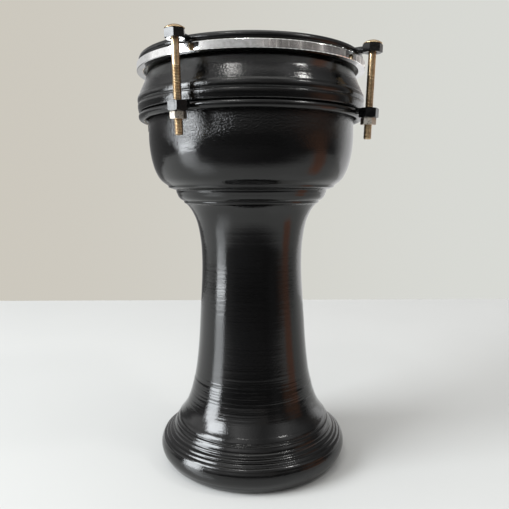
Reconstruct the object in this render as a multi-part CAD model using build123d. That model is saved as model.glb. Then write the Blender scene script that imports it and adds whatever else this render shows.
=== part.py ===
from build123d import *
import math
import os

# Goblet drum, standing on its foot. Millimetres, +Z up.
# Origin: centre of the foot ring, on the surface the drum stands on.

# ---- driving dimensions: shell -------------------------------------------
RIM_Z = 437.5             # bearing edge under the drumhead
RIM_R = 109.0             # outer radius just under the rim's rounding
RIM_LAND_R = 104.4        # outer radius of the flat land that carries the head
RIM_BORE_R = 99.0         # inner radius of the land
COLLAR_R = 120.8          # largest radius of the collar
COLLAR_FLAT_Z = 383.0     # underside of the collar, where the lower ring bears
COLLAR_GROOVE_Z = 392.4
BOWL_R = 109.9            # bowl, just under the collar
SHOULDER_R = 90.7         # outer edge of the bowl's bottom
NECK_BORE_R = 46.0
FOOT_R = 104.6            # largest radius of the foot roll
FOOT_REST_R = (86.0, 92.6)  # the flat ring the drum stands on

# ---- driving dimensions: head and hoop -----------------------------------
FILM_T = 0.25
FILM_GAP = 0.3            # clearance round the rim's outer rounding
HOOP_R = (113.8, 120.5)   # inner and outer radius of the hoop's channel
HOOP_Z = (424.8, 432.5)
HOOP_T = 1.2              # channel wall
HOOP_INNER_WALL = 3.6     # height of the low inner wall
HOOP_EDGE = 0.6           # rounding of its outer corners

# ---- driving dimensions: rings, lugs, bolts, nuts ------------------------
BAR_R = 4.0               # round bar of both rings
UPPER_RING = (114.5, 436.5)   # centreline radius and height
LOWER_RING = (116.0, 379.0)
BOLTS = 4
LEAN = 0.041              # outward lean of each bolt, radians
AXIS_AT = (131.5, 380.0)  # a point on each bolt's axis: radius, height
HEAD_SEAT_Z = 440.9       # height where a bolt head sits on its upper lug
BOLT_LENGTH = 89.2        # under the head to the tip
BOLT_HEAD_R = 9.0
BOLT_HEAD_H = 4.0
BOLT_HEAD_EDGE = 0.7      # height of the head's rounded edge, below the dome
SHANK_R = 3.65
THREAD_R = 3.95
PLAIN_LENGTH = 29.5
LUG_FLATS = 17.0
UPPER_LUG_HEIGHT = 8.0
LOWER_LUG_HEIGHT = 9.1
LUG_BORE_R = 4.6
LOWER_LUG_TOP = 59.65     # down the axis from the head's seat
NUT_FLATS = 13.0
NUT_HEIGHT = 6.8
NUT_BORE_R = 4.0          # 0.05 mm running fit on the thread
UPPER_WELD = (4.4, 3.2)   # half width and half height of a weld neck
LOWER_WELD = (4.6, 3.0)
UPPER_WELD_REACH = 127.6  # radius where the weld metal ends, inside the lug
LOWER_WELD_REACH = 125.4


def save(name, shape):
    shape.label = name
    export_step(shape, "parts/" + name + ".step")


def spun(edges_maker):
    """A closed outline in the XZ half plane, turned about the drum's axis."""
    with BuildPart() as body:
        with BuildSketch(Plane.XZ):
            with BuildLine():
                edges_maker()
            make_face()
        revolve(axis=Axis.Z)
    return body.part


# ---- shell ----------------------------------------------------------------
def foot_outside():
    """From the resting ring up to the flare: roll, three small steps, a groove."""
    inner, outer = FOOT_REST_R
    Line((inner, 0), (outer, 0))
    ThreePointArc((outer, 0), (97.4, 3.6), (101.6, 9.4))
    ThreePointArc((101.6, 9.4), (FOOT_R, 17.3), (102.6, 26.0))
    ThreePointArc((102.6, 26.0), (101.7, 28.0), (100.0, 29.5))
    Line((100.0, 29.5), (98.4, 30.4))
    ThreePointArc((98.4, 30.4), (97.4, 31.9), (95.8, 32.4))
    Line((95.8, 32.4), (94.9, 33.1))
    ThreePointArc((94.9, 33.1), (93.9, 34.7), (92.5, 35.1))
    Line((92.5, 35.1), (91.2, 36.6))
    ThreePointArc((91.2, 36.6), (89.3, 39.8), (87.1, 43.6))
    ThreePointArc((87.1, 43.6), (86.5, 44.9), (85.5, 45.3))
    ThreePointArc((85.5, 45.3), (84.9, 46.0), (85.2, 46.9))


def neck_outside():
    """From the foot's flare, up the waist, to the groove under the bowl."""
    waist = [
        (85.2, 46.9), (81.2, 53.0), (75.2, 62.4), (70.0, 76.0), (64.7, 98.0), (60.3, 136.0),
        (57.0, 186.0), (55.5, 222.0), (57.0, 250.0), (62.7, 274.1), (67.5, 283.0), (72.1, 288.2),
    ]
    Spline(waist, tangents=[(-0.3, 1.0), (1.0, 0.8)])


def shoulder_outside():
    """Neck ring, then the step out to the bottom edge of the bowl."""
    ThreePointArc((72.1, 288.2), (73.9, 289.2), (74.3, 291.3))
    ThreePointArc((74.3, 291.3), (78.9, 294.2), (81.2, 298.6))
    ThreePointArc((81.2, 298.6), (82.1, 300.4), (82.4, 302.4))
    Line((82.4, 302.4), (84.0, 303.4))
    Line((84.0, 303.4), (89.0, 305.1))
    ThreePointArc((89.0, 305.1), (90.4, 305.8), (SHOULDER_R, 307.0))
    Line((SHOULDER_R, 307.0), (91.2, 307.8))


def bowl_outside():
    """Bowl, from its bottom edge up to the underside of the collar."""
    side = [
        (91.2, 307.8), (98.2, 313.4), (103.3, 321.8), (107.3, 334.4), (109.7, 351.0),
        (BOWL_R, 372.0), (BOWL_R, COLLAR_FLAT_Z),
    ]
    Spline(side, tangents=[(0.8, 0.6), (0, 1)])


def collar_outside():
    """Two beads with a groove between them, then the sweep in to the rim."""
    flat = COLLAR_FLAT_Z
    Line((BOWL_R, flat), (118.2, flat))
    ThreePointArc((118.2, flat), (119.5, flat + 0.5), (120.0, flat + 2.0))
    ThreePointArc((120.0, flat + 2.0), (120.6, 388.0), (120.4, COLLAR_GROOVE_Z - 0.8))
    ThreePointArc((120.4, COLLAR_GROOVE_Z - 0.8), (119.7, COLLAR_GROOVE_Z), (120.5, COLLAR_GROOVE_Z + 0.8))
    ThreePointArc((120.5, COLLAR_GROOVE_Z + 0.8), (COLLAR_R, 396.4), (120.1, 399.6))
    Spline([(120.1, 399.6), (117.1, 405.7), (113.9, 412.4), (110.9, 420.6), (RIM_R, 430.0)],
           tangents=[(-0.5, 1.0), (-0.12, 1.0)])
    Line((RIM_R, 430.0), (RIM_R, RIM_Z - 4.6))


def rim_and_inside():
    """Over the bearing edge, down the bowl and the neck, out of the foot."""
    ThreePointArc((RIM_R, RIM_Z - 4.6), (RIM_LAND_R + 3.253, RIM_Z - 1.347), (RIM_LAND_R, RIM_Z))
    Line((RIM_LAND_R, RIM_Z), (RIM_BORE_R + 2, RIM_Z))
    ThreePointArc((RIM_BORE_R + 2, RIM_Z), (RIM_BORE_R + 0.586, RIM_Z - 0.586), (RIM_BORE_R, RIM_Z - 2))
    inside = [
        (RIM_BORE_R, RIM_Z - 2), (101.0, 400.0), (100.6, 362.0), (97.0, 332.0), (88.0, 316.0),
        (72.0, 302.5), (56.0, 287.0), (47.6, 262.0), (NECK_BORE_R, 226.0), (47.4, 180.0),
        (52.0, 125.0), (57.4, 92.0), (66.0, 68.0), (77.0, 46.0), (83.0, 20.0), (84.0, 2.0),
    ]
    Spline(inside, tangents=[(0, -1), (0, -1)])
    ThreePointArc((84.0, 2.0), (84.586, 0.586), (FOOT_REST_R[0], 0))


def shell_outline():
    foot_outside()
    neck_outside()
    shoulder_outside()
    bowl_outside()
    collar_outside()
    rim_and_inside()


def shell():
    """Fired-clay goblet: one hollow turned body, open at both ends."""
    return spun(shell_outline)


# ---- drumhead -------------------------------------------------------------
FILM_SIDE_R = RIM_R + FILM_GAP
FILM_BEND_R = FILM_SIDE_R - RIM_LAND_R


def film_face(grow):
    """One face of the film, as points: centre, over the rim, into the hoop."""
    side = FILM_SIDE_R + grow
    bend = FILM_BEND_R + grow
    top = RIM_Z + grow
    turn = RIM_Z - FILM_BEND_R
    slant = 0.414 * grow
    c = math.sqrt(0.5)
    return {
        "centre": (0, top),
        "land": (RIM_LAND_R, top),
        "over": (RIM_LAND_R + bend * c, turn + bend * c),
        "side": (side, turn),
        "knee": (side, 431.4 + slant),
        "tuck": (114.9 + grow, 428.9 + 0.9 * grow),
        "end": (116.4 + grow, 427.2),
    }


def film_outline():
    low = film_face(0.0)
    high = film_face(FILM_T)
    Line(low["centre"], low["land"])
    ThreePointArc(low["land"], low["over"], low["side"])
    Polyline(low["side"], low["knee"], low["tuck"], low["end"])
    Line(low["end"], high["end"])
    Polyline(high["end"], high["tuck"], high["knee"], high["side"])
    ThreePointArc(high["side"], high["over"], high["land"])
    Line(high["land"], high["centre"])
    Line(high["centre"], low["centre"])


def drumhead_film():
    """Plastic film: flat over the rim, down its outside, into the hoop."""
    return spun(film_outline)


def hoop_outline():
    inner, outer = HOOP_R
    low, high = HOOP_Z
    e = HOOP_EDGE
    Polyline((inner, low + e), (inner, low + HOOP_INNER_WALL), (inner + HOOP_T, low + HOOP_INNER_WALL),
             (inner + HOOP_T, low + HOOP_T), (outer - HOOP_T, low + HOOP_T), (outer - HOOP_T, high))
    Line((outer - HOOP_T, high), (outer - e, high))
    ThreePointArc((outer - e, high), (outer - 0.176, high - 0.176), (outer, high - e))
    Line((outer, high - e), (outer, low + e))
    ThreePointArc((outer, low + e), (outer - 0.176, low + 0.176), (outer - e, low))
    Line((outer - e, low), (inner + e, low))
    ThreePointArc((inner + e, low), (inner + 0.176, low + 0.176), (inner, low + e))


def head_hoop():
    """Aluminium channel, open at the top, that the film is glued into."""
    return spun(hoop_outline)


def resin_outline():
    inner, outer = HOOP_R
    low = HOOP_Z[0] + HOOP_T
    Polyline((inner + HOOP_T, low), (outer - HOOP_T, low), (outer - HOOP_T, HOOP_Z[1] - 0.4))
    ThreePointArc((outer - HOOP_T, HOOP_Z[1] - 0.4), (117.4, 430.4), (inner + HOOP_T, HOOP_Z[0] + HOOP_INNER_WALL))
    Line((inner + HOOP_T, HOOP_Z[0] + HOOP_INNER_WALL), (inner + HOOP_T, low))


def hoop_resin():
    """Cast resin in the hoop's channel, poured round the film's edge."""
    return spun(resin_outline) - drumhead_film()


# ---- rings ----------------------------------------------------------------
def ring(centre):
    radius, height = centre
    return Pos(0, 0, height) * Torus(radius, BAR_R)


# ---- things that sit on a bolt's leaning axis -----------------------------
def seat(index):
    """Frame of a bolt: origin where its head seats, +Z up the leaning axis."""
    turn = 2 * math.pi * index / BOLTS
    out = Vector(math.cos(turn), math.sin(turn), 0)
    up = out * math.sin(LEAN) + Vector(0, 0, math.cos(LEAN))
    along = out * math.cos(LEAN) - Vector(0, 0, math.sin(LEAN))
    radius = AXIS_AT[0] + (HEAD_SEAT_Z - AXIS_AT[1]) * math.tan(LEAN)
    return Plane(origin=out * radius + Vector(0, 0, HEAD_SEAT_Z), x_dir=along, z_dir=up)


def hexagon(flats, low, high, bore, turn):
    """Chamfered hexagon with a through hole, between two heights."""
    corner = flats / math.sqrt(3)
    block = Pos(0, 0, low) * extrude(RegularPolygon(corner, 6, rotation=turn), high - low)
    drop = (corner - flats / 2) * 0.577
    with BuildPart() as cone:
        with BuildSketch(Plane.XZ):
            Polygon((0, low), (flats / 2 - 0.1, low), (corner, low + drop), (corner, high - drop),
                    (flats / 2 - 0.1, high), (0, high), align=None)
        revolve(axis=Axis.Z)
    hole = Pos(0, 0, (low + high) / 2) * Cylinder(bore, high - low + 2)
    return (block & cone.part) - hole


def upper_lug():
    return hexagon(LUG_FLATS, -UPPER_LUG_HEIGHT, 0, LUG_BORE_R, 30)


def lower_lug():
    return hexagon(LUG_FLATS, -LOWER_LUG_TOP - LOWER_LUG_HEIGHT, -LOWER_LUG_TOP, LUG_BORE_R, 30)


def tuning_nut():
    top = -LOWER_LUG_TOP - LOWER_LUG_HEIGHT
    return hexagon(NUT_FLATS, top - NUT_HEIGHT, top, NUT_BORE_R, 12)


def dome_height(r):
    """Height of the bolt head's spherical top at radius r."""
    rise = BOLT_HEAD_H - BOLT_HEAD_EDGE
    sphere = (BOLT_HEAD_R ** 2 + rise ** 2) / (2 * rise)
    return BOLT_HEAD_H - sphere + math.sqrt(sphere ** 2 - r ** 2)


def bolt_outline():
    """Half section of a bolt: domed head, plain shank, threaded length."""
    tip = -BOLT_LENGTH
    Line((0, BOLT_HEAD_H), (0, tip))
    Polyline((0, tip), (THREAD_R - 0.9, tip), (THREAD_R, tip + 0.9), (THREAD_R, -PLAIN_LENGTH - 0.3),
             (SHANK_R, -PLAIN_LENGTH), (SHANK_R, 0), (BOLT_HEAD_R - 0.5, 0))
    ThreePointArc((BOLT_HEAD_R - 0.5, 0), (BOLT_HEAD_R - 0.1, 0.2), (BOLT_HEAD_R, BOLT_HEAD_EDGE))
    ThreePointArc((BOLT_HEAD_R, BOLT_HEAD_EDGE), (5.0, dome_height(5.0)), (0, BOLT_HEAD_H))


def tuning_bolt():
    """Mushroom-headed bolt that passes through both lugs into its nut."""
    return spun(bolt_outline)


def weld(index, ring_shape, lug_shape, centre, reach, half):
    """Weld metal filling the gap between a ring and one lug."""
    turn = 360.0 * index / BOLTS
    wide, tall = half
    radius, height = centre
    start = radius + BAR_R * 0.55
    length = reach - start
    blob = Pos(start + length / 2, 0, height) * Box(length, 2 * wide, 2 * tall)
    blob = fillet(blob.edges().filter_by(Axis.X), min(wide, tall) * 0.8)
    return Rot(0, 0, turn) * blob - ring_shape - lug_shape


def main():
    os.makedirs("parts", exist_ok=True)
    save("shell", shell())
    save("drumhead_film", drumhead_film())
    save("head_hoop", head_hoop())
    save("hoop_resin", hoop_resin())
    upper_ring = ring(UPPER_RING)
    lower_ring = ring(LOWER_RING)
    save("tension_ring", upper_ring)
    save("lower_ring", lower_ring)
    for i in range(BOLTS):
        frame = seat(i).location
        number = str(i + 1)
        high_lug = frame * upper_lug()
        low_lug = frame * lower_lug()
        save("upper_lug_" + number, high_lug)
        save("lower_lug_" + number, low_lug)
        save("tuning_bolt_" + number, frame * tuning_bolt())
        save("tuning_nut_" + number, frame * tuning_nut())
        save("upper_weld_" + number, weld(i, upper_ring, high_lug, UPPER_RING, UPPER_WELD_REACH, UPPER_WELD))
        save("lower_weld_" + number, weld(i, lower_ring, low_lug, LOWER_RING, LOWER_WELD_REACH, LOWER_WELD))


main()
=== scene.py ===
import math

import bpy
from mathutils import Matrix, Vector, noise


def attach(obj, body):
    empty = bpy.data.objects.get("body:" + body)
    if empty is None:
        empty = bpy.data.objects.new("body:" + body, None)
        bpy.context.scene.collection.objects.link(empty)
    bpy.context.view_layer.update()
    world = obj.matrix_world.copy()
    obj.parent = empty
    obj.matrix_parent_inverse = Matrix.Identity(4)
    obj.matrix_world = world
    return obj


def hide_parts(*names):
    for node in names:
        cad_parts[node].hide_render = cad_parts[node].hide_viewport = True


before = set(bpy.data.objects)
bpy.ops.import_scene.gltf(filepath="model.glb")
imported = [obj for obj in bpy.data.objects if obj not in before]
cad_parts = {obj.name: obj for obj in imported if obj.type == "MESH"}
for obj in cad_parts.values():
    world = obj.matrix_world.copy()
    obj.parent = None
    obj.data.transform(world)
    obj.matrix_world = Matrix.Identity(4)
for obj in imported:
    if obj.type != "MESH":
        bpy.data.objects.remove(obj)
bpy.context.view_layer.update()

MM = 0.001

# The camera's side of the drum is 29 degrees round from -Y.
FACING = math.radians(29.0)
TO_CAMERA = Vector((math.sin(FACING), -math.cos(FACING), 0))
TO_RIGHT = Vector((math.cos(FACING), math.sin(FACING), 0))
UP = Vector((0, 0, 1))


# ---- camera ---------------------------------------------------------------
CAMERA_LENS = 38.02
CAMERA_PITCH = math.radians(7.05)   # how far it looks down
CAMERA_ROLL = math.radians(0.23)
CAMERA_AT = TO_CAMERA * 0.600 + TO_RIGHT * 0.0031 + UP * 0.3048


def make_camera():
    data = bpy.data.cameras.new("camera")
    data.lens = CAMERA_LENS
    data.sensor_width = 36.0
    data.clip_start = 0.01
    data.dof.use_dof = False
    cam = bpy.data.objects.new("camera", data)
    bpy.context.scene.collection.objects.link(cam)
    look = -TO_CAMERA * math.cos(CAMERA_PITCH) - UP * math.sin(CAMERA_PITCH)
    level_up = UP * math.cos(CAMERA_PITCH) - TO_CAMERA * math.sin(CAMERA_PITCH)
    up = level_up * math.cos(CAMERA_ROLL) + look.cross(level_up) * math.sin(CAMERA_ROLL)
    m = Matrix((look.cross(up), up, -look)).transposed().to_4x4()
    m.translation = CAMERA_AT
    cam.matrix_world = m
    bpy.context.scene.camera = cam


make_camera()


# ---- node helpers ---------------------------------------------------------
class Nodes:
    """A short way to write a node tree."""

    def __init__(self, tree):
        self.tree = tree

    def new(self, kind, inputs=None, **settings):
        node = self.tree.nodes.new(kind)
        for key, value in settings.items():
            setattr(node, key, value)
        for key, value in (inputs or {}).items():
            socket = node.inputs[key]
            if isinstance(value, bpy.types.NodeSocket):
                self.tree.links.new(value, socket)
            else:
                socket.default_value = value
        return node

    def math(self, operation, *values, clamp=False):
        inputs = {i: v for i, v in enumerate(values)}
        return self.new("ShaderNodeMath", inputs, operation=operation, use_clamp=clamp).outputs[0]

    def span(self, value, low, high, to_low=0.0, to_high=1.0):
        """Smooth step of a value from one range to another."""
        ins = {"Value": value, "From Min": low, "From Max": high, "To Min": to_low, "To Max": to_high}
        return self.new("ShaderNodeMapRange", ins, interpolation_type="SMOOTHSTEP").outputs[0]

    def mix(self, factor, a, b):
        node = self.new("ShaderNodeMix", data_type="RGBA")
        for index, value in ((0, factor), (6, a), (7, b)):
            if isinstance(value, bpy.types.NodeSocket):
                self.tree.links.new(value, node.inputs[index])
            else:
                node.inputs[index].default_value = value
        return node.outputs[2]

    def stretch(self, vector, scales):
        """A vector with each axis multiplied by its own number."""
        return self.new("ShaderNodeVectorMath", {0: vector, 1: scales}, operation="MULTIPLY").outputs[0]

    def dot(self, vector, axis):
        """How far a vector reaches along an axis."""
        ins = {0: vector, 1: tuple(axis)}
        return self.new("ShaderNodeVectorMath", ins, operation="DOT_PRODUCT").outputs["Value"]

    def light_path(self, kind):
        return self.new("ShaderNodeLightPath").outputs[kind]

    def attribute(self, name):
        return self.new("ShaderNodeAttribute", attribute_name=name).outputs["Fac"]

    def noise(self, vector, scale, detail=3.0, rough=0.5):
        ins = {"Vector": vector, "Scale": scale, "Detail": detail, "Roughness": rough}
        return self.new("ShaderNodeTexNoise", ins).outputs["Fac"]


def material(name):
    """A material with a Principled shader; returns (material, nodes, shader, object coordinates)."""
    mat = bpy.data.materials.new(name)
    mat.use_nodes = True
    tree = mat.node_tree
    tree.nodes.clear()
    n = Nodes(tree)
    shader = n.new("ShaderNodeBsdfPrincipled")
    out = n.new("ShaderNodeOutputMaterial")
    tree.links.new(shader.outputs[0], out.inputs["Surface"])
    where = n.new("ShaderNodeTexCoord").outputs["Object"]
    return mat, n, shader, where


def connect(n, shader, **values):
    """Set or link the shader's inputs by their short names."""
    names = {"color": "Base Color", "rough": "Roughness", "normal": "Normal", "metal": "Metallic",
             "ior": "IOR", "sss": "Subsurface Weight", "spec": "Specular IOR Level"}
    for key, value in values.items():
        socket = shader.inputs[names[key]]
        if isinstance(value, bpy.types.NodeSocket):
            n.tree.links.new(value, socket)
        else:
            socket.default_value = value


def bump(n, height, strength, distance):
    ins = {"Height": height, "Strength": strength, "Distance": distance}
    return n.new("ShaderNodeBump", ins).outputs[0]


# ---- materials ------------------------------------------------------------
# Heights are in metres up the drum.
BOWL_GRAIN = (0.338, 0.362)   # the paint grows grainy up the bowl
COLLAR_UNDER = (0.382, 0.386)   # and is smoother again on the collar
FLARE_LINES = (0.055, 0.13)   # lathe lines are strongest below this span


def gloss_paint_height(n, where, patch):
    """Bumps of the shell's paint: orange peel, grit and faint lathe lines."""
    z = n.new("ShaderNodeSeparateXYZ", {0: where}).outputs[2]
    lines = n.noise(n.stretch(where, (6.0, 6.0, 620.0)), 1.0, 4.0, 0.6)
    peel = n.noise(where, 260.0, 2.0, 0.6)
    grit = n.noise(where, 640.0, 2.0, 0.6)
    on_bowl = n.math("MULTIPLY", n.span(z, *BOWL_GRAIN), n.span(z, *COLLAR_UNDER, 1.0, 0.25))
    grainy = n.math("MULTIPLY", on_bowl, n.span(patch, 0.44, 0.56, 0.15, 1.0))
    low_down = n.span(z, *FLARE_LINES, 1.0, 0.0)
    height = n.math("MULTIPLY", peel, n.math("MULTIPLY_ADD", grainy, 0.8, 0.30))
    height = n.math("MULTIPLY_ADD", grit, n.math("MULTIPLY_ADD", grainy, 3.4, 0.55), height)
    return n.math("MULTIPLY_ADD", lines, n.math("MULTIPLY_ADD", low_down, 0.5, 0.34), height)


def lacquer():
    """Black gloss paint over turned clay, and bare clay inside."""
    mat, n, shader, where = material("black_lacquer")
    patch = n.noise(where, 9.0, 2.0, 0.5)
    painted = bump(n, gloss_paint_height(n, where, patch), 0.7, 0.00022)
    clay_lines = n.noise(n.stretch(where, (5.0, 5.0, 170.0)), 1.0, 3.0, 0.5)
    clay = bump(n, n.math("ADD", clay_lines, n.noise(where, 900.0, 3.0, 0.6)), 0.7, 0.0006)
    ragged = n.math("MULTIPLY_ADD", n.noise(where, 60.0, 3.0, 0.6), 0.35, n.attribute("inside"))
    bare = n.span(ragged, 0.60, 0.72)
    tone = n.noise(where, 14.0, 4.0, 0.6)
    clay_color = n.mix(tone, (0.30, 0.150, 0.085, 1), (0.46, 0.255, 0.155, 1))
    paint_color = n.mix(patch, (0.0012, 0.0012, 0.0014, 1), (0.0022, 0.0021, 0.002, 1))
    color = n.mix(bare, paint_color, clay_color)
    gloss = n.span(n.noise(where, 26.0, 4.0, 0.55), 0.3, 0.75, 0.06, 0.12)
    rough = n.math("ADD", gloss, n.math("MULTIPLY", bare, 0.7), clamp=True)
    normal = n.new("ShaderNodeMix", data_type="VECTOR")
    for index, value in ((0, bare), (4, painted), (5, clay)):
        n.tree.links.new(value, normal.inputs[index])
    connect(n, shader, color=color, rough=rough, normal=normal.outputs[1], ior=1.5)
    return mat


def black_steel(name, peel=0.5):
    """Gloss black paint on steel: softened, slightly lumpy, a few dull patches."""
    mat, n, shader, where = material(name)
    body = n.noise(where, 240.0, 3.0, 0.5)
    fine = n.noise(where, 900.0, 2.0, 0.5)
    height = n.math("MULTIPLY_ADD", fine, 0.3, body)
    dull = n.noise(where, 70.0, 3.0, 0.6)
    color = n.mix(dull, (0.0015, 0.0015, 0.0018, 1), (0.0035, 0.0034, 0.0032, 1))
    connect(n, shader, color=color, rough=n.span(dull, 0.3, 0.7, 0.10, 0.26), ior=1.5,
            normal=bump(n, height, peel, 0.00025))
    return mat


def yellow_zinc(name, plain, pale, stained):
    """Yellow passivated zinc: warm, with browner and paler clouds, and painted shade between the threads."""
    mat, n, shader, where = material(name)
    cloud = n.noise(where, 95.0, 4.0, 0.6)
    stain = n.noise(where, 420.0, 3.0, 0.6)
    color = n.mix(n.span(cloud, 0.35, 0.68), plain, pale)
    color = n.mix(n.span(stain, 0.56, 0.76), color, stained)
    # Painted shade: the thread's valleys are darkened, as shade between the threads would darken them.
    color = n.mix(n.attribute("valley"), color, (0.075, 0.040, 0.018, 1))
    connect(n, shader, color=color, metal=1.0, rough=n.span(stain, 0.3, 0.75, 0.26, 0.42),
            normal=bump(n, n.noise(where, 1500.0, 2.0, 0.5), 0.10, 0.00004))
    return mat


def hoop_metal():
    """Polished aluminium: fine lines round the hoop, small dents and dull spots."""
    mat, n, shader, where = material("hoop_metal")
    lines = n.noise(n.stretch(where, (9.0, 9.0, 2600.0)), 1.0, 3.0, 0.6)
    dents = n.noise(where, 38.0, 2.0, 0.5)
    spots = n.noise(where, 260.0, 4.0, 0.6)
    height = n.math("MULTIPLY_ADD", dents, 0.45, n.math("MULTIPLY", lines, 0.06))
    color = n.mix(n.span(spots, 0.35, 0.75), (0.90, 0.90, 0.895, 1), (0.78, 0.775, 0.76, 1))
    rough = n.math("MULTIPLY_ADD", lines, 0.05, n.span(spots, 0.4, 0.8, 0.03, 0.12))
    connect(n, shader, color=color, metal=1.0, rough=rough, normal=bump(n, height, 0.35, 0.00022))
    return mat


def drum_film():
    """Milky plastic film: even satin surface, very faint mottling."""
    mat, n, shader, where = material("film")
    mottle = n.noise(where, 55.0, 3.0, 0.5)
    grain = n.noise(where, 1600.0, 2.0, 0.5)
    color = n.mix(mottle, (0.76, 0.755, 0.725, 1), (0.82, 0.815, 0.79, 1))
    connect(n, shader, color=color, rough=n.span(mottle, 0.3, 0.7, 0.30, 0.40), ior=1.52,
            sss=0.1, normal=bump(n, grain, 0.25, 0.00005))
    shader.inputs["Subsurface Radius"].default_value = (0.0010, 0.0009, 0.0007)
    return mat


def cast_resin():
    """Amber casting resin, cloudy and a little uneven."""
    mat, n, shader, where = material("resin")
    cloud = n.noise(where, 120.0, 4.0, 0.6)
    color = n.mix(cloud, (0.42, 0.36, 0.24, 1), (0.58, 0.52, 0.38, 1))
    connect(n, shader, color=color, rough=n.span(cloud, 0.3, 0.7, 0.12, 0.3), ior=1.54,
            normal=bump(n, n.noise(where, 330.0, 2.0, 0.5), 0.4, 0.0003))
    return mat


LACQUER = lacquer()
STEEL = black_steel("black_steel")
WELD = black_steel("black_weld", 0.9)
ZINC = yellow_zinc("yellow_zinc", (0.62, 0.44, 0.25, 1), (0.82, 0.65, 0.42, 1), (0.44, 0.26, 0.13, 1))
PALE_ZINC = yellow_zinc("pale_zinc", (0.74, 0.66, 0.53, 1), (0.92, 0.88, 0.80, 1), (0.58, 0.44, 0.30, 1))
HOOP = hoop_metal()
FILM = drum_film()
RESIN = cast_resin()


# ---- mesh helpers ---------------------------------------------------------
def add_mesh(name, points, faces, mat, smooth=True):
    mesh = bpy.data.meshes.new(name)
    mesh.from_pydata([tuple(p) for p in points], [], faces)
    mesh.materials.append(mat)
    mesh.validate()
    mesh.update()
    mesh.polygons.foreach_set("use_smooth", [smooth] * len(mesh.polygons))
    obj = bpy.data.objects.new(name, mesh)
    bpy.context.scene.collection.objects.link(obj)
    return obj


def arc(a, b, c, count):
    """Points on the circle through a, b and c, from a to c."""
    (ax, ay), (bx, by), (cx, cy) = a, b, c
    d = 2 * (ax * (by - cy) + bx * (cy - ay) + cx * (ay - by))
    a2, b2, c2 = ax * ax + ay * ay, bx * bx + by * by, cx * cx + cy * cy
    ux = (a2 * (by - cy) + b2 * (cy - ay) + c2 * (ay - by)) / d
    uy = (a2 * (cx - bx) + b2 * (ax - cx) + c2 * (bx - ax)) / d
    t0, t1, t2 = (math.atan2(y - uy, x - ux) for x, y in (a, b, c))
    sweep = (t2 - t0) % (2 * math.pi)
    if (t1 - t0) % (2 * math.pi) > sweep:
        sweep -= 2 * math.pi
    r = math.hypot(ax - ux, ay - uy)
    return [(ux + r * math.cos(t0 + sweep * i / count), uy + r * math.sin(t0 + sweep * i / count))
            for i in range(count + 1)]


def curve(points, start, end, step):
    """A smooth line through points, with the given end directions, in short steps."""
    p = [Vector(q) for q in points]
    chord = [(p[i + 1] - p[i]).length for i in range(len(p) - 1)]
    slopes = [Vector(start).normalized()]
    for i in range(1, len(p) - 1):
        before = (p[i] - p[i - 1]) / chord[i - 1]
        after = (p[i + 1] - p[i]) / chord[i]
        slopes.append((before * chord[i] + after * chord[i - 1]) / (chord[i] + chord[i - 1]))
    slopes.append(Vector(end).normalized())
    out = []
    for i, length in enumerate(chord):
        count = max(1, round(length / step))
        for k in range(count):
            t = k / count
            a = p[i] * (2 * t ** 3 - 3 * t ** 2 + 1) + slopes[i] * length * (t ** 3 - 2 * t ** 2 + t)
            b = p[i + 1] * (3 * t ** 2 - 2 * t ** 3) + slopes[i + 1] * length * (t ** 3 - t ** 2)
            out.append(tuple(a + b))
    out.append(tuple(p[-1]))
    return out


def joined(*parts):
    """One line from several, without doubled points."""
    line = []
    for part in parts:
        for q in part:
            if not line or math.dist(line[-1], q) > 1e-6:
                line.append(q)
    return line


def turned(name, line, sides, mat, bulge=None):
    """A closed outline in mm, turned about the drum's axis."""
    points, faces = [], []
    count = len(line)
    for s in range(sides):
        turn = 2 * math.pi * s / sides
        c, d = math.cos(turn), math.sin(turn)
        for i, (r, z) in enumerate(line):
            if bulge:
                r = r + bulge(i, r, z, c, d)
            points.append((r * c * MM, r * d * MM, z * MM))
    for s in range(sides):
        a, b = s * count, ((s + 1) % sides) * count
        for i in range(count):
            j = (i + 1) % count
            faces.append((a + i, b + i, b + j, a + j))
    return add_mesh(name, points, faces, mat)


# ---- shell ----------------------------------------------------------------
# Heights in mm where the shell touches other parts, and so stays exactly as turned.
STANDING = 2.0
LOWER_RING_BEARING = (381.0, 384.5)
FILM_BEARING = 431.0
FLARE = (88.0, 30.0)   # middle and half height of the deepest throwing ridges
SHELL_SIDES = 224
WANDER = 0.28   # how far the whole wall strays
OUTER_RIDGE = 0.022
FLARE_RIDGE = 0.25
INNER_RIDGE = 0.55
PAINTED_RIM_POINTS = 14   # points of the inner line, over the rim, that are still painted
FOOT_FADE = (8.0, 40.0)   # where the paint inside the foot starts to thin, and over what height
RIM_FADE = (436.0, 14.0)   # the same, down from the rim


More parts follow.
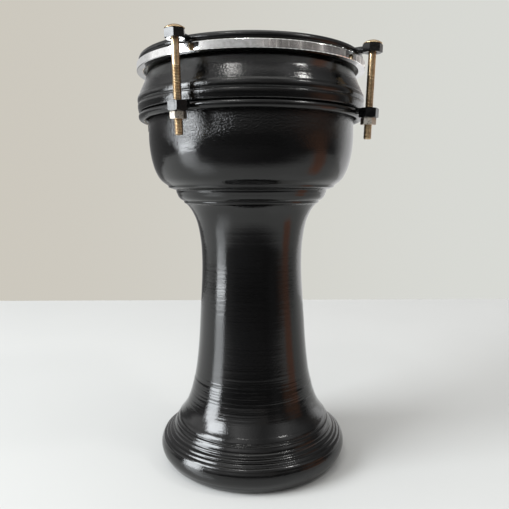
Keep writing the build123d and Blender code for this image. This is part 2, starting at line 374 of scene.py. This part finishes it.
def shell_outside():
    """The outer line of the goblet in mm, from the resting ring up to the rim."""
    foot = joined(
        [(86.0, 0.0), (89.5, 0.0)],
        arc((92.6, 0.0), (97.4, 3.6), (101.6, 9.4), 9),
        arc((101.6, 9.4), (104.6, 17.3), (102.6, 26.0), 18),
        arc((102.6, 26.0), (101.7, 28.0), (100.0, 29.5), 6),
        arc((100.0, 29.5), (98.9, 29.8), (98.4, 30.6), 4),
        arc((98.4, 30.6), (97.4, 31.9), (95.8, 32.4), 5),
        arc((95.8, 32.4), (95.1, 32.7), (94.9, 33.3), 4),
        arc((94.9, 33.3), (93.9, 34.7), (92.5, 35.1), 4),
        arc((92.5, 35.1), (91.4, 35.8), (91.0, 37.0), 5),
        arc((91.0, 37.0), (90.5, 38.2), (89.7, 38.8), 4),
        arc((89.7, 38.8), (89.3, 39.2), (89.1, 39.8), 4),
        arc((89.1, 39.8), (88.3, 41.8), (87.1, 43.6), 6),
        arc((87.1, 43.6), (86.5, 44.9), (85.5, 45.3), 5),
        arc((85.5, 45.3), (84.9, 46.0), (85.2, 46.9), 5),
    )
    neck = curve([
        (85.2, 46.9), (84.5, 48.8), (81.2, 53.0), (78.1, 57.4), (75.2, 62.4), (72.8, 68.0),
        (70.0, 76.0), (67.4, 86.0), (64.7, 98.0), (62.7, 112.0), (60.3, 136.0), (58.7, 160.0),
        (57.0, 186.0), (55.7, 210.0), (55.5, 226.0), (57.0, 250.0), (62.7, 274.1),
        (67.5, 283.0), (72.1, 288.2)], (0.05, 1.0), (1.0, 0.8), 0.8)
    shoulder = joined(
        arc((72.1, 288.2), (73.9, 289.2), (74.3, 291.3), 6),
        arc((74.3, 291.3), (78.9, 294.2), (81.2, 298.6), 9),
        arc((81.2, 298.6), (82.1, 300.4), (82.4, 302.4), 4),
        arc((82.4, 302.4), (83.0, 303.2), (84.0, 303.4), 4),
        [(86.4, 304.2), (88.4, 304.9)],
        arc((89.0, 305.1), (90.4, 305.8), (90.7, 307.0), 4),
    )
    bowl = curve([
        (91.2, 307.8), (98.2, 313.4), (103.3, 321.8), (107.3, 334.4), (109.7, 351.0),
        (109.9, 372.0), (109.9, 383.0)], (0.8, 0.6), (0.0, 1.0), 1.3)
    collar = joined(
        [(109.9, 383.0), (114.0, 383.0), (117.4, 383.0)],
        arc((118.2, 383.1), (119.5, 383.6), (120.0, 385.0), 6),
        arc((120.0, 385.0), (120.6, 388.0), (120.4, 391.5), 8),
        arc((120.4, 391.5), (119.8, 392.3), (120.5, 393.2), 6),
        arc((120.5, 393.2), (120.8, 396.4), (120.2, 399.0), 8),
        arc((120.2, 399.0), (119.5, 400.0), (118.8, 401.2), 4),
        curve([(118.6, 401.8), (116.9, 405.9), (113.9, 412.4), (110.9, 420.6), (109.0, 430.0)],
              (-0.35, 1.0), (-0.12, 1.0), 0.9),
        [(109.0, 432.9)],
    )
    return joined(foot, neck, shoulder, bowl, collar)


def shell_inside():
    """From the rim down the inside of the bowl and neck to the resting ring."""
    rim = joined(
        arc((109.0, 432.9), (107.65, 436.15), (104.4, 437.5), 9),
        [(101.0, 437.5)],
        arc((101.0, 437.5), (99.586, 436.914), (99.0, 435.5), 5),
    )
    hollow = curve([
        (99.0, 435.5), (101.0, 400.0), (100.6, 362.0), (97.0, 332.0), (88.0, 316.0),
        (72.0, 302.5), (56.0, 287.0), (47.6, 262.0), (46.0, 226.0), (47.4, 180.0),
        (52.0, 125.0), (57.4, 92.0), (66.0, 68.0), (77.0, 46.0), (83.0, 20.0), (84.0, 2.0)],
        (0.0, -1.0), (0.0, -1.0), 3.0)
    return joined(rim, hollow, arc((84.0, 2.0), (84.586, 0.586), (86.0, 0.0), 4)[:-1])


def make_shell():
    outside = shell_outside()
    edge = len(outside)
    line = joined(outside, shell_inside())

    def thrown(i, r, z, c, d):
        """Throwing ridges and a slight wander, as the potter's hand leaves them."""
        if z < STANDING or FILM_BEARING < z or LOWER_RING_BEARING[0] < z < LOWER_RING_BEARING[1]:
            return 0.0
        wander = WANDER * noise.noise(Vector((c * 0.9, d * 0.9, z * 0.012)))
        if i >= edge:
            return wander + INNER_RIDGE * noise.noise(Vector((c * 0.5, d * 0.5, z * 0.16 + 40.0)))
        flare = max(0.0, 1.0 - abs(z - FLARE[0]) / FLARE[1])
        depth = OUTER_RIDGE + FLARE_RIDGE * flare
        coarse = noise.noise(Vector((c * 0.35, d * 0.35, z * 0.34)))
        fine = noise.noise(Vector((c * 0.7, d * 0.7, z * 0.95 + 9.0)))
        return wander + depth * (coarse + 0.7 * fine)

    shell = turned("shell_body", line, SHELL_SIDES, LACQUER, thrown)
    bare = []
    for k, (r, z) in enumerate(line):
        if k < edge + PAINTED_RIM_POINTS:
            bare.append(0.0)
        else:
            above_foot = max(0.0, (z - FOOT_FADE[0]) / FOOT_FADE[1])
            below_rim = max(0.0, (RIM_FADE[0] - z) / RIM_FADE[1])
            bare.append(min(1.0, above_foot, below_rim))
    attribute = shell.data.attributes.new("inside", "FLOAT", "POINT")
    attribute.data.foreach_set("value", bare * SHELL_SIDES)
    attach(shell, "goblet")
    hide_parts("shell")


make_shell()


# ---- bolts ----------------------------------------------------------------
LEAN = 0.041   # radians, outwards
AXIS_AT = (131.5, 380.0)   # a point on each bolt's axis: radius and height in mm
SEAT_Z = 440.9
SEAT_R = AXIS_AT[0] + (SEAT_Z - AXIS_AT[1]) * math.tan(LEAN)
# Millimetres in a bolt's own frame, where its head seats at height 0.
HEAD_TOP = 4.0
DOME_R = 13.92   # radius of the sphere that the head's top is part of
UNDERSIDE = 0.04   # clearance between the head and its lug
SHANK = 3.65
TIP = -89.2
PLAIN = -29.5   # where the plain shank ends
PITCH = 1.25
CREST = 3.95
ROOT = 3.27
SIDES_ROUND = 36
ROWS_PER_TURN = 6
CENTRE = 0.001


def seat(index):
    """Frame of one bolt: origin where its head seats, +Z up its leaning axis."""
    turn = math.pi / 2 * index
    out = Vector((math.cos(turn), math.sin(turn), 0))
    up = out * math.sin(LEAN) + UP * math.cos(LEAN)
    along = out * math.cos(LEAN) - UP * math.sin(LEAN)
    m = Matrix((along, up.cross(along), up)).transposed().to_4x4()
    m.translation = (out * SEAT_R + UP * SEAT_Z) * MM
    return m


def bolt_head_line():
    """Down the dome, round its edge, under the head and down the plain shank."""
    dome = (1.5, 3.0, 4.5, 6.0, 7.3, 8.3, 8.8)
    return joined(
        [(CENTRE, HEAD_TOP)],
        [(r, HEAD_TOP - DOME_R + math.sqrt(DOME_R ** 2 - r * r)) for r in dome],
        arc((9.0, 0.72), (8.97, 0.28), (8.6, 0.06), 4),
        [(7.6, UNDERSIDE), (4.3, UNDERSIDE)],
        arc((4.0, 0.02), (3.72, -0.1), (SHANK, -0.4), 3),
        [(SHANK, -14.0), (SHANK, PLAIN + 1.6)],
    )


def thread_row(z):
    """Points round the thread at one height: radius, height, and how deep in a valley each is, which sets the
    painted shade there.
    """
    run_out = min(1.0, max(0.0, (PLAIN + 0.7 - z) / 2.2))
    low = ROOT + (SHANK - ROOT) * (1.0 - run_out)
    top = SHANK + (CREST - SHANK) * run_out
    end = min(1.0, max(0.0, (z - TIP) / 1.3))
    row = []
    for s in range(SIDES_ROUND):
        phase = (z / PITCH - s / SIDES_ROUND) % 1.0
        ridge = 1.0 - abs(2.0 * phase - 1.0)
        ridge = min(1.0, max(0.0, ridge * 1.30 - 0.14))
        r = low + (top - low) * ridge
        row.append((min(r, 3.0 + end * 1.2), z, run_out * (1.0 - ridge)))
    return row


def bolt_mesh():
    """Mushroom head, plain shank and a real helical thread."""
    rows = [[(r, z, 0.0)] * SIDES_ROUND for r, z in bolt_head_line()]
    z = PLAIN + 0.9
    while z > TIP + 0.15:
        rows.append(thread_row(z))
        z -= PITCH / ROWS_PER_TURN
    for r, z in ((2.95, TIP + 0.1), (2.75, TIP), (CENTRE, TIP)):
        rows.append([(r, z, 0.0)] * SIDES_ROUND)
    points, faces, valleys = [], [], []
    for row in rows:
        for s, (r, height, valley) in enumerate(row):
            turn = 2 * math.pi * s / SIDES_ROUND
            points.append((r * math.cos(turn) * MM, r * math.sin(turn) * MM, height * MM))
            valleys.append(valley)
    for k in range(len(rows) - 1):
        a, b = k * SIDES_ROUND, (k + 1) * SIDES_ROUND
        for s in range(SIDES_ROUND):
            t = (s + 1) % SIDES_ROUND
            faces.append((a + s, b + s, b + t, a + t))
    return points, faces, valleys


def make_bolts():
    points, faces, valleys = bolt_mesh()
    for i in range(4):
        number = str(i + 1)
        spin = Matrix.Rotation(1.7 * i + 0.6, 4, "Z")
        bolt = add_mesh("bolt_threaded_" + number, points, faces, ZINC)
        bolt.data.transform(seat(i) @ spin)
        # The valley depth drives the painted shade between the threads.
        attribute = bolt.data.attributes.new("valley", "FLOAT", "POINT")
        attribute.data.foreach_set("value", valleys)
        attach(bolt, "bolt_" + number)
        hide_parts("tuning_bolt_" + number)


make_bolts()


# ---- CAD nodes that stay --------------------------------------------------
def paint(node, mat):
    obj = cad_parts[node]
    for slot in obj.material_slots:
        slot.material = mat
    if not obj.material_slots:
        obj.data.materials.append(mat)


for i in range(4):
    number = str(i + 1)
    paint("tuning_nut_" + number, PALE_ZINC)
    paint("upper_lug_" + number, STEEL)
    paint("lower_lug_" + number, STEEL)
    paint("upper_weld_" + number, WELD)
    paint("lower_weld_" + number, WELD)
paint("tension_ring", STEEL)
paint("lower_ring", STEEL)
paint("head_hoop", HOOP)
paint("hoop_resin", RESIN)
paint("drumhead_film", FILM)


# ---- floor ----------------------------------------------------------------
FLOOR_BACK = 0.85
FLOOR_FRONT = 1.7
FLOOR_SIDE = 1.9
PALE = ((0.635, 0.637, 0.625, 1), (0.670, 0.672, 0.660, 1))
# Only as the gloss parts mirror it, the floor has painted shade towards the camera and a brown strip aside, a
# painted reflection.
SHADE = (0.05, 0.05, 0.052, 1)
SHADE_REACH = (0.30, 0.70)
STRIP = (0.84, 0.42, 0.29, 1)
STRIP_SLANT = 0.16
STRIP_HALF = (0.13, 0.19)
STRIP_REACH = (0.35, 0.55)


def floor_paint():
    """Pale satin paint, less glossy to the camera than to the gloss parts, which alone see its painted shade
    and painted brown reflection.
    """
    mat, n, shader, where = material("floor_paint")
    mirrored = n.light_path("Is Glossy Ray")
    toward = n.dot(where, TO_CAMERA)
    aside = n.dot(where, TO_RIGHT)
    slant = n.math("SUBTRACT", n.math("DIVIDE", toward, aside), STRIP_SLANT)
    strip = n.span(n.math("ABSOLUTE", slant), *STRIP_HALF, 1.0, 0.0)
    strip = n.math("MULTIPLY", strip, n.span(aside, *STRIP_REACH))
    color = n.mix(n.noise(where, 3.0, 3.0, 0.5), *PALE)
    # Painted reflection, seen only by the gloss parts: the brown strip aside.
    color = n.mix(n.math("MULTIPLY", strip, mirrored), color, STRIP)
    # Painted shade, seen only by the gloss parts: the dark floor towards the camera.
    color = n.mix(n.math("MULTIPLY", n.span(toward, *SHADE_REACH), mirrored), color, SHADE)
    glare = n.math("MULTIPLY_ADD", mirrored, 0.45, 0.05)
    connect(n, shader, color=color, rough=0.28, spec=glare,
            normal=bump(n, n.noise(where, 260.0, 3.0, 0.6), 0.1, 0.0004))
    return mat


def make_floor():
    """A pale board under the drum, square to the camera's side, with a straight far edge."""
    columns, rows = 24, 16
    points, faces = [], []
    for j in range(rows + 1):
        for i in range(columns + 1):
            along = FLOOR_SIDE * (2 * i / columns - 1)
            toward = -FLOOR_BACK + (FLOOR_BACK + FLOOR_FRONT) * j / rows
            points.append(TO_RIGHT * along + TO_CAMERA * toward)
    for j in range(rows):
        for i in range(columns):
            k = j * (columns + 1) + i
            faces.append((k, k + columns + 1, k + columns + 2, k + 1))
    add_mesh("floor", points, faces, floor_paint(), False)


# ---- room -----------------------------------------------------------------
BROWN = (0.46, 0.25, 0.17)
# Brightness of the room by azimuth, in degrees to the right of the camera's side: level with the
# drum's middle, a little above it, and higher. A single number is a neutral grey.
ROOM_LEVEL = [(-180, 0.60), (-150, 0.20), (-100, 0.22), (-55, 0.32), (-45, 0.20), (-35, 0.085), (0, 0.062),
              (32, 0.065), (44, 0.14), (56, 0.12), (64, BROWN), (88, BROWN), (92, 0.13), (104, 0.13),
              (112, 0.6), (128, 1.4), (150, 1.1), (180, 0.60)]
ROOM_RAISED = [(-180, 0.62), (-118, 0.66), (-110, 1.05), (-48, 0.95), (-40, 0.62), (-22, 0.42), (0, 0.36),
               (22, 0.33), (28, 0.13), (42, 0.16), (46, 0.30), (52, 0.14), (66, 0.15), (72, 0.36), (82, 0.14),
               (108, 0.20), (150, 0.5), (180, 0.62)]
ROOM_HIGH = [(-180, 0.36), (-125, 0.30), (-100, 0.9), (-78, 1.5), (-62, 1.0), (-48, 0.45), (-30, 1.4),
             (-10, 0.85), (5, 0.5), (20, 0.30), (38, 0.5), (55, 1.0), (75, 0.6), (90, 0.4), (108, 0.18),
             (150, 0.25), (180, 0.36)]
OVERHEAD = (1.4, 1.4, 1.36, 1)
# The height, as the sine of its elevation, over which each band changes to the next one.
LEVEL_TO_RAISED = (0.15, 0.21)
RAISED_TO_HIGH = (0.27, 0.48)
HIGH_TO_OVERHEAD = (0.86, 0.93)
PANELLED = (0.48, 0.56)   # the raised band is panelled to the right of this, in turns
BACKDROP = ((0.605, 0.575, 0.51, 1), (0.69, 0.70, 0.665, 1))   # as the camera sees it, left and right


def room_band(n, azimuth, stops):
    """The room's brightness round one band."""
    ramp = n.new("ShaderNodeValToRGB", {0: azimuth})
    elements = ramp.color_ramp.elements
    while len(elements) < len(stops):
        elements.new(0.5)
    for element, (degrees, value) in zip(elements, stops):
        element.position = degrees / 360 + 0.5
    for element, (degrees, value) in zip(elements, stops):
        r, g, b = value if isinstance(value, tuple) else (value, value, value)
        element.color = (r, g, b, 1)
    return ramp.outputs[0]


def panelled(n, azimuth, z, band):
    """The raised band with dark and light panels between pale seams."""
    at = n.new("ShaderNodeCombineXYZ", {0: n.math("MULTIPLY", azimuth, 5.0), 1: n.math("MULTIPLY", z, 4.0)})
    panels = n.new("ShaderNodeTexBrick", {
        "Vector": at.outputs[0], "Color1": (0.45, 0.42, 0.43, 1), "Color2": (1.35, 1.27, 1.2, 1),
        "Mortar": (2.2, 2.1, 2.0, 1), "Scale": 3.0, "Mortar Size": 0.02, "Bias": -0.1}).outputs["Color"]
    ins = {0: n.span(azimuth, *PANELLED), 6: band, 7: panels}
    return n.new("ShaderNodeMix", ins, data_type="RGBA", blend_type="MULTIPLY").outputs[2]


def make_world():
    """The room that the gloss parts mirror, and a plain backdrop for the camera."""
    world = bpy.data.worlds.new("studio")
    bpy.context.scene.world = world
    world.use_nodes = True
    tree = world.node_tree
    tree.nodes.clear()
    n = Nodes(tree)
    way = n.new("ShaderNodeTexCoord").outputs["Generated"]
    z = n.new("ShaderNodeSeparateXYZ", {0: way}).outputs[2]
    aside = n.dot(way, TO_RIGHT)
    turn = n.math("ARCTAN2", aside, n.dot(way, TO_CAMERA))
    azimuth = n.math("MULTIPLY_ADD", turn, 0.5 / math.pi, 0.5)
    raised = panelled(n, azimuth, z, room_band(n, azimuth, ROOM_RAISED))
    room = n.mix(n.span(z, *LEVEL_TO_RAISED), room_band(n, azimuth, ROOM_LEVEL), raised)
    room = n.mix(n.span(z, *RAISED_TO_HIGH), room, room_band(n, azimuth, ROOM_HIGH))
    room = n.mix(n.span(z, *HIGH_TO_OVERHEAD), room, OVERHEAD)
    backdrop = n.mix(n.span(aside, -0.5, 0.5), *BACKDROP)
    color = n.mix(n.light_path("Is Camera Ray"), room, backdrop)
    shade = n.new("ShaderNodeBackground", {"Color": color, "Strength": 1.0})
    out = n.new("ShaderNodeOutputWorld")
    tree.links.new(shade.outputs[0], out.inputs["Surface"])


# ---- lights ---------------------------------------------------------------
DAYLIGHT = (0.93, 0.97, 1.0)
LAMPLIGHT = (1.0, 0.99, 0.96)
MIDDLE = (0, 0, 0.25)


def area_light(name, azimuth, elevation, distance, size, radiance, color, aim=MIDDLE,
               mirrored=True, diffuse=True):
    """A soft rectangular light, its azimuth in degrees to the right of the camera's side."""
    a, e = math.radians(azimuth), math.radians(elevation)
    way = (TO_CAMERA * math.cos(a) + TO_RIGHT * math.sin(a)) * math.cos(e) + UP * math.sin(e)
    data = bpy.data.lights.new(name, "AREA")
    data.shape = "RECTANGLE"
    data.size, data.size_y = size
    data.energy = radiance * math.pi * size[0] * size[1]
    data.color = color
    light = bpy.data.objects.new(name, data)
    bpy.context.scene.collection.objects.link(light)
    light.visible_glossy = mirrored
    light.visible_diffuse = diffuse
    light.location = Vector(aim) + way * distance
    light.rotation_euler = (-way).to_track_quat("-Z", "Y").to_euler()


make_floor()
make_world()
# A tall window in two panes is what the gloss parts mirror; its glow is what lights the floor.
area_light("window_low", -72, 0, 1.75, (0.68, 0.60), 14, DAYLIGHT, (0, 0, 0.32), diffuse=False)
area_light("window_high", -64, 0, 1.75, (0.92, 0.80), 17, DAYLIGHT, (0, 0, 1.04), diffuse=False)
area_light("window_glow", -66, 29, 3.6, (1.9, 1.65), 14.5, DAYLIGHT, mirrored=False)
area_light("ceiling_left", -25, 58, 1.6, (0.20, 0.10), 26, LAMPLIGHT)
area_light("ceiling_right", 62, 48, 1.6, (0.17, 0.11), 42, LAMPLIGHT)

scene = bpy.context.scene
scene.view_settings.view_transform = "Standard"
scene.view_settings.look = "None"
